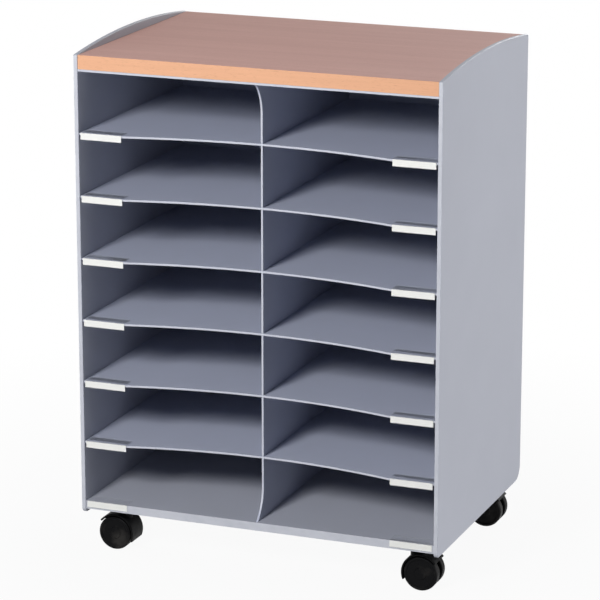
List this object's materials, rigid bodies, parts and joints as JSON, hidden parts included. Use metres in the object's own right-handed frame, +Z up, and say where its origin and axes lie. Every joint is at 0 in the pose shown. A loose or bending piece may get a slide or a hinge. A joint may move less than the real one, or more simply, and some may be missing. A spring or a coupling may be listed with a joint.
{
  "type": "mobile mail sorter",
  "caption": "Free-standing two-column mail sorter with open compartments, bowed side panels, beech-look top, label holders and twin-wheel swivel casters.",
  "frame": {"origin": "on the floor under the middle of the cabinet, where the wheels stand", "axes": "+X to the right, +Y to the back panel, +Z up; the open front faces -Y"},
  "size_m": [0.54, 0.38, 0.7434],
  "materials": {
    "panel_grey": "fine satin grey",
    "base_grey": "satin grey facing",
    "shelf_grey": "satin grey sheet",
    "beech_top": "satin beech-look facing",
    "beech_edging": "satin beech-look edging",
    "clear_holder": "clear gloss",
    "white_card": "plain white card",
    "caster_black": "moulded black",
    "wheel_black": "moulded black",
    "zinc_steel": "zinc plated"
  },
  "bodies": {
    "cabinet": {"left_side_panel": "panel_grey", "right_side_panel": "panel_grey", "base_board": "base_grey", "top_plate": "shelf_grey", "top_board": "beech_top", "top_board_front_edging": "beech_edging", "top_board_rear_edging": "beech_edging", "back_panel": "shelf_grey", "centre_divider": "shelf_grey", "shelf_1": "shelf_grey", "shelf_2": "shelf_grey", "shelf_3": "shelf_grey", "shelf_4": "shelf_grey", "shelf_5": "shelf_grey", "shelf_6": "shelf_grey", "label_holder_left_1": "clear_holder", "label_holder_left_2": "clear_holder", "label_holder_left_3": "clear_holder", "label_holder_left_4": "clear_holder", "label_holder_left_5": "clear_holder", "label_holder_left_6": "clear_holder", "label_holder_left_7": "clear_holder", "label_cards_left": "white_card", "label_holder_right_1": "clear_holder", "label_holder_right_2": "clear_holder", "label_holder_right_3": "clear_holder", "label_holder_right_4": "clear_holder", "label_holder_right_5": "clear_holder", "label_holder_right_6": "clear_holder", "label_holder_right_7": "clear_holder", "label_cards_right": "white_card", "front_left_caster_plate": "zinc_steel", "front_left_caster_kingpin": "zinc_steel", "front_right_caster_plate": "zinc_steel", "front_right_caster_kingpin": "zinc_steel", "rear_left_caster_plate": "zinc_steel", "rear_left_caster_kingpin": "zinc_steel", "rear_right_caster_plate": "zinc_steel", "rear_right_caster_kingpin": "zinc_steel", "caster_screws": "zinc_steel", "base_screws": "zinc_steel", "top_screws": "zinc_steel"},
    "front_left_swivel": {"front_left_caster_hood": "caster_black", "front_left_caster_axle": "zinc_steel"},
    "front_left_wheel_1": {"front_left_caster_wheel_1": "wheel_black"},
    "front_left_wheel_2": {"front_left_caster_wheel_2": "wheel_black"},
    "front_right_swivel": {"front_right_caster_hood": "caster_black", "front_right_caster_axle": "zinc_steel"},
    "front_right_wheel_1": {"front_right_caster_wheel_1": "wheel_black"},
    "front_right_wheel_2": {"front_right_caster_wheel_2": "wheel_black"},
    "rear_left_swivel": {"rear_left_caster_hood": "caster_black", "rear_left_caster_axle": "zinc_steel"},
    "rear_left_wheel_1": {"rear_left_caster_wheel_1": "wheel_black"},
    "rear_left_wheel_2": {"rear_left_caster_wheel_2": "wheel_black"},
    "rear_right_swivel": {"rear_right_caster_hood": "caster_black", "rear_right_caster_axle": "zinc_steel"},
    "rear_right_wheel_1": {"rear_right_caster_wheel_1": "wheel_black"},
    "rear_right_wheel_2": {"rear_right_caster_wheel_2": "wheel_black"}
  },
  "joints": [
    {"name": "front_left_caster_swivel", "type": "hinge", "parent": "cabinet", "child": "front_left_swivel", "pos_m": [-0.224, -0.139, 0.055], "axis": [0, 0, 1], "continuous": true},
    {"name": "front_left_wheel_1_spin", "type": "hinge", "parent": "front_left_swivel", "child": "front_left_wheel_1", "pos_m": [-0.234, -0.139, 0.025], "axis": [0, 1, 0], "continuous": true},
    {"name": "front_left_wheel_2_spin", "type": "hinge", "parent": "front_left_swivel", "child": "front_left_wheel_2", "pos_m": [-0.234, -0.139, 0.025], "axis": [0, 1, 0], "continuous": true},
    {"name": "front_right_caster_swivel", "type": "hinge", "parent": "cabinet", "child": "front_right_swivel", "pos_m": [0.224, -0.139, 0.055], "axis": [0, 0, 1], "continuous": true},
    {"name": "front_right_wheel_1_spin", "type": "hinge", "parent": "front_right_swivel", "child": "front_right_wheel_1", "pos_m": [0.234, -0.139, 0.025], "axis": [0, 1, 0], "continuous": true},
    {"name": "front_right_wheel_2_spin", "type": "hinge", "parent": "front_right_swivel", "child": "front_right_wheel_2", "pos_m": [0.234, -0.139, 0.025], "axis": [0, 1, 0], "continuous": true},
    {"name": "rear_left_caster_swivel", "type": "hinge", "parent": "cabinet", "child": "rear_left_swivel", "pos_m": [-0.224, 0.15, 0.055], "axis": [0, 0, 1], "continuous": true},
    {"name": "rear_left_wheel_1_spin", "type": "hinge", "parent": "rear_left_swivel", "child": "rear_left_wheel_1", "pos_m": [-0.234, 0.15, 0.025], "axis": [0, 1, 0], "continuous": true},
    {"name": "rear_left_wheel_2_spin", "type": "hinge", "parent": "rear_left_swivel", "child": "rear_left_wheel_2", "pos_m": [-0.234, 0.15, 0.025], "axis": [0, 1, 0], "continuous": true},
    {"name": "rear_right_caster_swivel", "type": "hinge", "parent": "cabinet", "child": "rear_right_swivel", "pos_m": [0.224, 0.15, 0.055], "axis": [0, 0, 1], "continuous": true},
    {"name": "rear_right_wheel_1_spin", "type": "hinge", "parent": "rear_right_swivel", "child": "rear_right_wheel_1", "pos_m": [0.234, 0.15, 0.025], "axis": [0, 1, 0], "continuous": true},
    {"name": "rear_right_wheel_2_spin", "type": "hinge", "parent": "rear_right_swivel", "child": "rear_right_wheel_2", "pos_m": [0.234, 0.15, 0.025], "axis": [0, 1, 0], "continuous": true}
  ]
}
